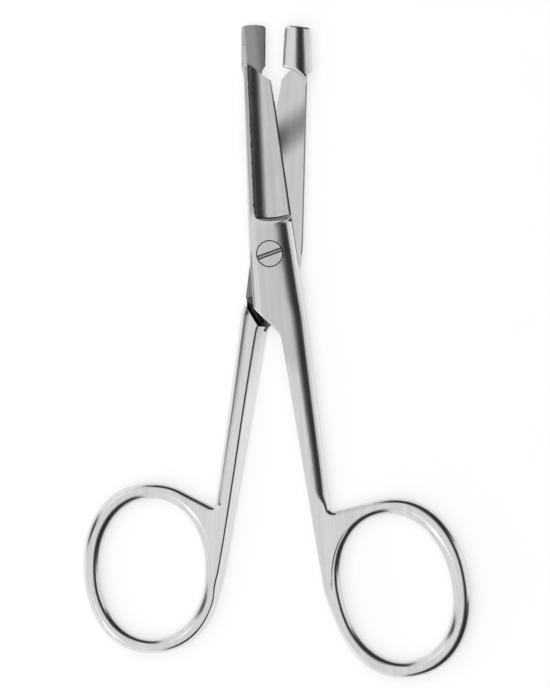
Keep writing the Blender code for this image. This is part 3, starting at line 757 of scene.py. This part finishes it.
# The groove in the web, and the lap face's chamfer
GROOVE_START = math.radians(116.0)
GROOVE_END = math.radians(180.0)
GROOVE_NEAR = 0.42
GROOVE_FAR = 0.68
GROOVE_RADIUS = 0.0005
GROOVE_DEPTH = 0.00020
GROOVE_LIFT = 0.00032
GROOVE_STEPS = 48
GROOVE_SIDES = 24
SPINE_CHAMFER = 0.0004
SPINE_EDGE_REACH = 0.0006
SPINE_EDGE_END = 0.0010

# Steel
FORGED_COLOUR = (0.74, 0.74, 0.735)
SCREW_COLOUR = (0.62, 0.62, 0.615)
FORGED_ROUGHNESS = 0.17
SCREW_ROUGHNESS = 0.24
FORGED_STREAK = 0.15
SCREW_STREAK = 0.10
BRUSHING_DEPTH = 0.000007
BRUSHING_STRETCH = 0.05
STREAK_SCALE = 700.0
BRUSHING_SCALE = 5200.0
CLOUD_SCALE = 140.0
GLOSS_SPAN = (0.75, 1.3)

# Painted shade and darker tones on the steel: spans along or across a piece, fades, and the share of the
# colour that stays
ACROSS = (1.0, 0.0)
ALONG = (0.0, 1.0)
FINE = 0.00001
LEVEL_REACH = 0.00003
TOP_REACH = 0.00012
BLADE_LOW_Y = -0.0035
BLADE_REACH = 0.06
# The blade's lap face a little darker
BLADE_TONE = 0.88
# Painted shadow of the other blade across the blade's lap face, darkest along its core
SHADOW_LEAN = (0.95, 1.0)
SHADOW_SPAN = (0.0190, 0.0335)
SHADOW_FADE = 0.0070
SHADOW_TONE = 0.44
SHADOW_CORE_SPAN = (-0.0040, 0.0120)
SHADOW_CORE_FADE = 0.0040
SHADOW_CORE_TONE = 0.40
# Painted shade on the lap face below the blade, in the recess at the joint
LAP_SHADE_TONE = 0.30
# The joint's flat a little darker
JOINT_SPAN = (-0.0300, 0.0110)
JOINT_FADE = 0.0060
FLAT_SPAN = (-0.0031, 0.0200)
FLAT_FADE = 0.0004
JOINT_TONE = 0.84
# Painted shade along the joint's edge on the spine side, on its upper face
STRIP_SPAN = (-0.0135, 0.0050)
EDGE_SPAN = (-0.0100, -0.0041)
EDGE_FADE = 0.0003
STRIP_SHADE_TONE = 0.45
# Painted shade on the spine's land along the blade
LAND_SPAN = (0.0085, 0.0600)
LAND_FADE = 0.0020
LAND_SHADE_TONE = 0.66
# Painted shade in the relief by the shoulder wall
RELIEF_SPAN = (-0.0185, -0.0085)
RELIEF_REACH = (-0.0100, 0.0058)
RELIEF_SHADE_TONE = 0.10
# Painted shade on the knurl, except for a strip along its spine side, stronger toward its inner side and
# in its grooves
KNURL_SHADE_SPAN = (-0.0027, 0.0200)
KNURL_SHADE_FADE = 0.0009
KNURL_SPAN = (-0.0010, 0.0200)
KNURL_FADE = 0.0040
KNURL_SHADE_TONE = 0.52
KNURL_GROOVE_SHADE_TONE = 0.90
# Painted shade along the blade's edge facets and the spine's chamfer, just above the lap face
EDGE_SHADE_TONE = 0.30
# Painted shade on the screw below its head's top: in the slot and round the head's side
SLOT_SHADE_TONE = 0.55

# Camera, floor and studio
SENSOR = 36.0
CAMERA_HEIGHT = 1.5
VIEW_HEIGHT = 0.1635
VIEW_CENTRE = (0.0013, -0.0214)
CLIP_END = 10.0
FLOOR_REACH = 1.6
FLOOR_TONES = (0.94, 0.97)
FLOOR_ROUGHNESS = 0.9
MOTTLE_SCALE = 60.0
WORLD_GREY = 0.03
HORIZON_GREY = 0.32
HORIZON_SPAN = (0.16, 0.30)
WHITENING = 0.60

# Level panels: name, low corner, high corner, height, radiance, and whether the steel mirrors them
OVERHEAD_PANELS = (
    ("overhead", (-0.80, -0.80), (0.27, 0.80), 1.0, 0.84, True),
    ("overhead_side", (0.27, -0.80), (0.44, 0.80), 1.0, 0.16, True),
)
FILL_PANEL = ("fill", (-1.2, -1.2), (1.2, 1.2), 1.4, 1.0, False)

# Side panels: name, bearing and angle from the zenith in degrees, distance, width, height, radiance
SIDE_PANELS = (
    ("lower_left", 202.0, 65.0, 1.0, 0.89, 1.02, 0.84),
    ("lower", 251.0, 65.0, 1.0, 0.89, 1.02, 0.84),
    ("upper_left", 128.0, 65.0, 1.0, 0.95, 1.02, 0.84),
    ("right", 7.0, 73.0, 1.0, 0.45, 0.80, 0.82),
)


def new_material(name):
    """A material with its Principled shader, and a function that adds nodes to it."""
    material = bpy.data.materials.new(name)
    material.use_nodes = True
    tree = material.node_tree

    def add(kind, **values):
        node = tree.nodes.new(kind)
        for key, value in values.items():
            if hasattr(node, key):
                setattr(node, key, value)
            else:
                node.inputs[key.replace("_", " ")].default_value = value
        return node

    return material, tree.nodes["Principled BSDF"], tree.links, add


def between(add, links, value, low, high, fade):
    """One where a value lies between two bounds, fading to nothing inside them."""
    off = add("ShaderNodeMath", operation="SUBTRACT")
    off.inputs[1].default_value = (low + high) / 2
    links.new(value, off.inputs[0])
    size = add("ShaderNodeMath", operation="ABSOLUTE")
    links.new(off.outputs["Value"], size.inputs[0])
    node = add("ShaderNodeMapRange", interpolation_type="SMOOTHSTEP")
    node.inputs["From Min"].default_value = (high - low) / 2 - fade
    node.inputs["From Max"].default_value = (high - low) / 2
    node.inputs["To Min"].default_value = 1.0
    node.inputs["To Max"].default_value = 0.0
    links.new(size.outputs["Value"], node.inputs["Value"])
    return node.outputs["Result"]


def steel_material(name, colour, roughness, streak, shade_and_tones, matrix):
    """Polished steel with fine brushing along the piece, soft streaks and cloudy gloss.

    Each entry of painted shade or darker tone names a span of heights and its fade, then spans along or
    across the piece, each with its direction, ends and fade, and how much of the colour stays where all of
    them meet.
    The matrix is the one that laid the piece in its place, and the spans are in the piece's own frame.
    """
    material, shader, links, add = new_material(name)
    shader.inputs["Metallic"].default_value = 1.0
    laid = add("ShaderNodeTexCoord")
    place = add("ShaderNodeMapping", vector_type="TEXTURE")
    place.inputs["Location"].default_value = matrix.to_translation()
    place.inputs["Rotation"].default_value = matrix.to_euler()
    links.new(laid.outputs["Object"], place.inputs["Vector"])
    stretch = add("ShaderNodeMapping")
    stretch.inputs["Scale"].default_value = (1.0, BRUSHING_STRETCH, 1.0)
    links.new(place.outputs["Vector"], stretch.inputs["Vector"])
    streaks = add("ShaderNodeTexNoise", Scale=STREAK_SCALE, Detail=3.0, Roughness=0.6)
    fine = add("ShaderNodeTexNoise", Scale=BRUSHING_SCALE, Detail=3.0, Roughness=0.65)
    for noise in (streaks, fine):
        links.new(stretch.outputs["Vector"], noise.inputs["Vector"])
    clouds = add("ShaderNodeTexNoise", Scale=CLOUD_SCALE, Detail=4.0, Roughness=0.55)
    links.new(place.outputs["Vector"], clouds.inputs["Vector"])
    tone = add("ShaderNodeMix", data_type="RGBA")
    tone.inputs["A"].default_value = (*[c * (1 - streak) for c in colour], 1.0)
    tone.inputs["B"].default_value = (*[min(1.0, c * (1 + streak)) for c in colour], 1.0)
    links.new(streaks.outputs["Fac"], tone.inputs["Factor"])
    height = add("ShaderNodeSeparateXYZ")
    links.new(place.outputs["Vector"], height.inputs["Vector"])
    colour_now = tone.outputs["Result"]
    for low, high, soft, spans, share in shade_and_tones:
        there = between(add, links, height.outputs["Z"], low, high, soft)
        for across, near, far, fade in spans:
            sway = add("ShaderNodeVectorMath", operation="DOT_PRODUCT")
            sway.inputs[1].default_value = (*across, 0.0)
            links.new(place.outputs["Vector"], sway.inputs[0])
            span = between(add, links, sway.outputs["Value"], near, far, fade)
            both = add("ShaderNodeMath", operation="MULTIPLY")
            links.new(there, both.inputs[0])
            links.new(span, both.inputs[1])
            there = both.outputs["Value"]
        darker = add("ShaderNodeMix", data_type="RGBA", blend_type="MULTIPLY")
        darker.inputs["B"].default_value = (share, share, share, 1.0)
        links.new(there, darker.inputs["Factor"])
        links.new(colour_now, darker.inputs["A"])
        colour_now = darker.outputs["Result"]
    links.new(colour_now, shader.inputs["Base Color"])
    gloss = add("ShaderNodeMapRange")
    gloss.inputs["To Min"].default_value = roughness * GLOSS_SPAN[0]
    gloss.inputs["To Max"].default_value = roughness * GLOSS_SPAN[1]
    links.new(clouds.outputs["Fac"], gloss.inputs["Value"])
    links.new(gloss.outputs["Result"], shader.inputs["Roughness"])
    relief = add("ShaderNodeBump")
    relief.inputs["Distance"].default_value = BRUSHING_DEPTH
    relief.inputs["Strength"].default_value = 1.0
    links.new(fine.outputs["Fac"], relief.inputs["Height"])
    links.new(relief.outputs["Normal"], shader.inputs["Normal"])
    return material


def floor_material():
    """A pale table, whitened by a little light of its own for the camera and in the steel.

    Its colour is thinned there by as much, so that it keeps the shadow and doesn't grow brighter.
    """
    material, shader, links, add = new_material("white_table")
    place = add("ShaderNodeTexCoord")
    mottle = add("ShaderNodeTexNoise", Scale=MOTTLE_SCALE, Detail=3.0)
    links.new(place.outputs["Object"], mottle.inputs["Vector"])
    tone = add("ShaderNodeMix", data_type="RGBA")
    tone.inputs["A"].default_value = (*[FLOOR_TONES[0]] * 3, 1.0)
    tone.inputs["B"].default_value = (*[FLOOR_TONES[1]] * 3, 1.0)
    links.new(mottle.outputs["Fac"], tone.inputs["Factor"])
    path = add("ShaderNodeLightPath")
    mirrored = add("ShaderNodeMath", operation="MAXIMUM")
    links.new(path.outputs["Is Glossy Ray"], mirrored.inputs[0])
    links.new(path.outputs["Is Transmission Ray"], mirrored.inputs[1])
    shown = add("ShaderNodeMath", operation="MAXIMUM")
    links.new(path.outputs["Is Camera Ray"], shown.inputs[0])
    links.new(mirrored.outputs["Value"], shown.inputs[1])
    whiten = add("ShaderNodeMath", operation="MULTIPLY")
    whiten.inputs[1].default_value = WHITENING
    links.new(shown.outputs["Value"], whiten.inputs[0])
    links.new(whiten.outputs["Value"], shader.inputs["Emission Strength"])
    shader.inputs["Emission Color"].default_value = (1.0, 1.0, 1.0, 1.0)
    thin = add("ShaderNodeMix", data_type="RGBA", blend_type="MULTIPLY")
    thin.inputs["B"].default_value = (*[1 - WHITENING] * 3, 1.0)
    links.new(shown.outputs["Value"], thin.inputs["Factor"])
    links.new(tone.outputs["Result"], thin.inputs["A"])
    links.new(thin.outputs["Result"], shader.inputs["Base Color"])
    shader.inputs["Roughness"].default_value = FLOOR_ROUGHNESS
    shader.inputs["Specular IOR Level"].default_value = 0.0
    return material


def floor():
    bm = bmesh.new()
    bmesh.ops.create_grid(bm, x_segments=1, y_segments=1, size=FLOOR_REACH)
    obj = object_from(bm, "table")
    obj.data.materials.append(floor_material())


def panel(name, low, high, height, radiance, reflected):
    """A level light panel over the table, facing down."""
    width = high[0] - low[0]
    depth = high[1] - low[1]
    light = bpy.data.lights.new(name, "AREA")
    light.shape = "RECTANGLE"
    light.size = width
    light.size_y = depth
    light.energy = radiance * math.pi * width * depth
    obj = bpy.data.objects.new(name, light)
    bpy.context.collection.objects.link(obj)
    obj.location = ((low[0] + high[0]) / 2, (low[1] + high[1]) / 2, height)
    obj.visible_glossy = reflected


def side_panel(name, azimuth, zenith, distance, width, height, radiance):
    """A light panel at a bearing from the hinge, facing it. Zero azimuth is +X."""
    light = bpy.data.lights.new(name, "AREA")
    light.shape = "RECTANGLE"
    light.size = width
    light.size_y = height
    light.energy = radiance * math.pi * width * height
    obj = bpy.data.objects.new(name, light)
    bpy.context.collection.objects.link(obj)
    a = math.radians(azimuth)
    z = math.radians(zenith)
    toward = Vector((math.sin(z) * math.cos(a), math.sin(z) * math.sin(a), math.cos(z)))
    obj.location = toward * distance
    obj.rotation_euler = (-toward).to_track_quat("-Z", "Y").to_euler()


def camera():
    data = bpy.data.cameras.new("camera")
    data.sensor_width = SENSOR
    data.sensor_fit = "AUTO"
    data.lens = SENSOR * CAMERA_HEIGHT / VIEW_HEIGHT
    data.clip_end = CLIP_END
    obj = bpy.data.objects.new("camera", data)
    obj.location = (*VIEW_CENTRE, CAMERA_HEIGHT)
    bpy.context.collection.objects.link(obj)
    bpy.context.scene.camera = obj


def studio():
    """A dark room, lighter toward its horizon, with the light panels in it."""
    world = bpy.data.worlds.new("studio")
    bpy.context.scene.world = world
    world.use_nodes = True
    nodes = world.node_tree.nodes
    links = world.node_tree.links
    way = nodes.new("ShaderNodeTexCoord")
    height = nodes.new("ShaderNodeSeparateXYZ")
    links.new(way.outputs["Generated"], height.inputs["Vector"])
    rise = nodes.new("ShaderNodeMapRange")
    rise.interpolation_type = "SMOOTHSTEP"
    rise.inputs["From Min"].default_value = HORIZON_SPAN[0]
    rise.inputs["From Max"].default_value = HORIZON_SPAN[1]
    rise.inputs["To Min"].default_value = HORIZON_GREY
    rise.inputs["To Max"].default_value = WORLD_GREY
    links.new(height.outputs["Z"], rise.inputs["Value"])
    links.new(rise.outputs["Result"], nodes["Background"].inputs["Color"])
    for row in OVERHEAD_PANELS:
        panel(*row)
    for row in SIDE_PANELS:
        side_panel(*row)
    panel(*FILL_PANEL)


def web_groove(half, name):
    """A shallow groove in the web, where the ring's edge runs into it."""
    bm = bmesh.new()
    rings = []
    for k in range(GROOVE_STEPS + 1):
        share = k / GROOVE_STEPS
        angle = GROOVE_START + (GROOVE_END - GROOVE_START) * share
        inner = np.array(hole_point(half, angle))
        outer = np.array(ring_point(half, angle))
        place = inner + (outer - inner) * (GROOVE_NEAR + (GROOVE_FAR - GROOVE_NEAR) * share)
        outward = (outer - inner) / np.linalg.norm(outer - inner)
        depth = GROOVE_DEPTH - GROOVE_LIFT * (2 * share - 1) ** 2
        z = HALF_THICKNESS * taper(place[1]) + GROOVE_RADIUS - depth
        ring = []
        for i in range(GROOVE_SIDES):
            a = 2 * math.pi * i / GROOVE_SIDES
            x, y = place + outward * GROOVE_RADIUS * math.cos(a)
            ring.append(bm.verts.new((x, y, z + GROOVE_RADIUS * math.sin(a))))
        rings.append(ring)
    for first, second in zip(rings, rings[1:]):
        for i in range(GROOVE_SIDES):
            j = (i + 1) % GROOVE_SIDES
            bm.faces.new((first[i], first[j], second[j], second[i]))
    bm.faces.new(rings[0])
    bm.faces.new(rings[-1])
    return cutter(bm, name)


def chamfer_spine(obj, half):
    """Breaks the lap face's edge along the spine."""
    bm = bmesh.new()
    bm.from_mesh(obj.data)
    chosen = []
    for edge in bm.edges:
        level = all(abs(v.co.z - FACE_Z) < LEVEL_REACH for v in edge.verts)
        spine = all(v.co.x < spine_at(half, v.co.y) + SPINE_EDGE_REACH for v in edge.verts)
        blade = all(0.0 < v.co.y < half.pad_low_spine[1] - SPINE_EDGE_END for v in edge.verts)
        if level and spine and blade:
            chosen.append(edge)
    bmesh.ops.bevel(bm, geom=chosen, offset=SPINE_CHAMFER, segments=1, profile=0.5, affect="EDGES")
    bm.to_mesh(obj.data)
    bm.free()
    obj.data.set_sharp_from_angle(angle=SHARP_ANGLE)


def dress(obj, node, body, matrix):
    """Lays a piece in its place, hides the imported solid it stands for, and hangs it on the empty of the
    body that carries it.
    """
    obj.data.transform(matrix)
    weights = obj.modifiers.new("weights", "WEIGHTED_NORMAL")
    weights.mode = "FACE_AREA"
    weights.weight = 100
    weights.keep_sharp = True
    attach(obj, body)
    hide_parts(node)


def shade_and_tone_areas():
    """Painted shade and darker tones on both halves: lap face and its painted shadow, joint, land, relief,
    edges and knurl.
    """
    lap_face = (FACE_Z - LEVEL_REACH, FACE_Z + LEVEL_REACH, FINE)
    top_face = (HALF_THICKNESS - TOP_REACH, HALF_THICKNESS + TOP_REACH, TOP_REACH / 2)
    knurl = (-FACE_Z - KNURL_DEPTH - LEVEL_REACH, -FACE_Z + LEVEL_REACH, FINE)
    grooves = (-FACE_Z - KNURL_DEPTH - LEVEL_REACH, -FACE_Z - KNURL_DEPTH / 4, KNURL_DEPTH / 2)
    relief = (FACE_Z + LEVEL_REACH, FACE_Z + RELIEF_DEPTH, FINE)
    blade = (ALONG, BLADE_LOW_Y, BLADE_REACH, FINE)
    return [
        # the blade's lap face a little darker
        (*lap_face, [blade], BLADE_TONE),
        # painted shadow of the other blade across the lap face, darker at its core
        (*lap_face, [(SHADOW_LEAN, *SHADOW_SPAN, SHADOW_FADE)], SHADOW_TONE),
        (*lap_face, [(SHADOW_LEAN, *SHADOW_SPAN, SHADOW_FADE), (ACROSS, *SHADOW_CORE_SPAN, SHADOW_CORE_FADE)], SHADOW_CORE_TONE),
        # painted shade in the lap's recess at the joint
        (*lap_face, [(ALONG, -WIDE, BLADE_LOW_Y, FINE)], LAP_SHADE_TONE),
        # the joint's flat a little darker
        (*top_face, [(ALONG, *JOINT_SPAN, JOINT_FADE), (ACROSS, *FLAT_SPAN, FLAT_FADE)], JOINT_TONE),
        # painted shade on the spine's land
        (*top_face, [(ALONG, *LAND_SPAN, LAND_FADE)], LAND_SHADE_TONE),
        # painted shade along the joint's spine-side edge
        (*top_face, [(ALONG, *STRIP_SPAN, JOINT_FADE / 4), (ACROSS, *EDGE_SPAN, EDGE_FADE)], STRIP_SHADE_TONE),
        # painted shade in the relief
        (*relief, [(ALONG, *RELIEF_SPAN, FINE), (ACROSS, *RELIEF_REACH, FINE)], RELIEF_SHADE_TONE),
        # painted shade on the edge facets and the spine's chamfer
        (FACE_Z + LEVEL_REACH, FACE_Z + SPINE_CHAMFER, FINE, [(ALONG, 0.0, BLADE_REACH, FINE)], EDGE_SHADE_TONE),
        # painted shade on the knurl, with its spine-side strip left clear, stronger toward the inner side
        (*knurl, [blade, (ACROSS, *KNURL_SHADE_SPAN, KNURL_SHADE_FADE)], KNURL_SHADE_TONE),
        (*knurl, [blade, (ACROSS, *KNURL_SPAN, KNURL_FADE)], KNURL_SHADE_TONE),
        # painted shade in the knurl's grooves
        (*grooves, [blade], KNURL_GROOVE_SHADE_TONE),
    ]


def build():
    shade_and_tones = shade_and_tone_areas()
    # Painted shade in the screw's slot and round its head's side
    slot = [(0.0, HALF_THICKNESS - LEVEL_REACH, FINE, [(ALONG, -WIDE, WIDE, FINE)], SLOT_SHADE_TONE)]
    lift = Matrix.Translation((0.0, 0.0, HALF_THICKNESS))
    front_place = lift @ Matrix.Rotation(REST_OPENING / 2, 4, "Z")
    rear_place = lift @ Matrix.Rotation(-REST_OPENING / 2, 4, "Z") @ Matrix.Rotation(math.pi, 4, "Y")
    forged = (FORGED_COLOUR, FORGED_ROUGHNESS, FORGED_STREAK)
    front_steel = steel_material("front_steel", *forged, shade_and_tones, front_place)
    rear_steel = steel_material("rear_steel", *forged, shade_and_tones, rear_place)
    turned_steel = (SCREW_COLOUR, SCREW_ROUGHNESS, SCREW_STREAK)
    screw_steel = steel_material("screw_steel", *turned_steel, slot, lift)
    front = forged_half(front_sizes, "front_forging", True)
    combine(front, web_groove(front_sizes, "front_web_groove"), "DIFFERENCE")
    dress(finished(front, front_steel), "front_half", "front", front_place)
    rear = finished(forged_half(rear_sizes, "rear_forging", False), rear_steel)
    chamfer_spine(rear, rear_sizes)
    dress(rear, "rear_half", "rear", rear_place)
    screw = finished(pivot_screw("slotted_screw"), screw_steel)
    dress(screw, "pivot_screw", "rear", lift)


build()
floor()
camera()
studio()
bpy.context.scene.view_settings.view_transform = "Standard"
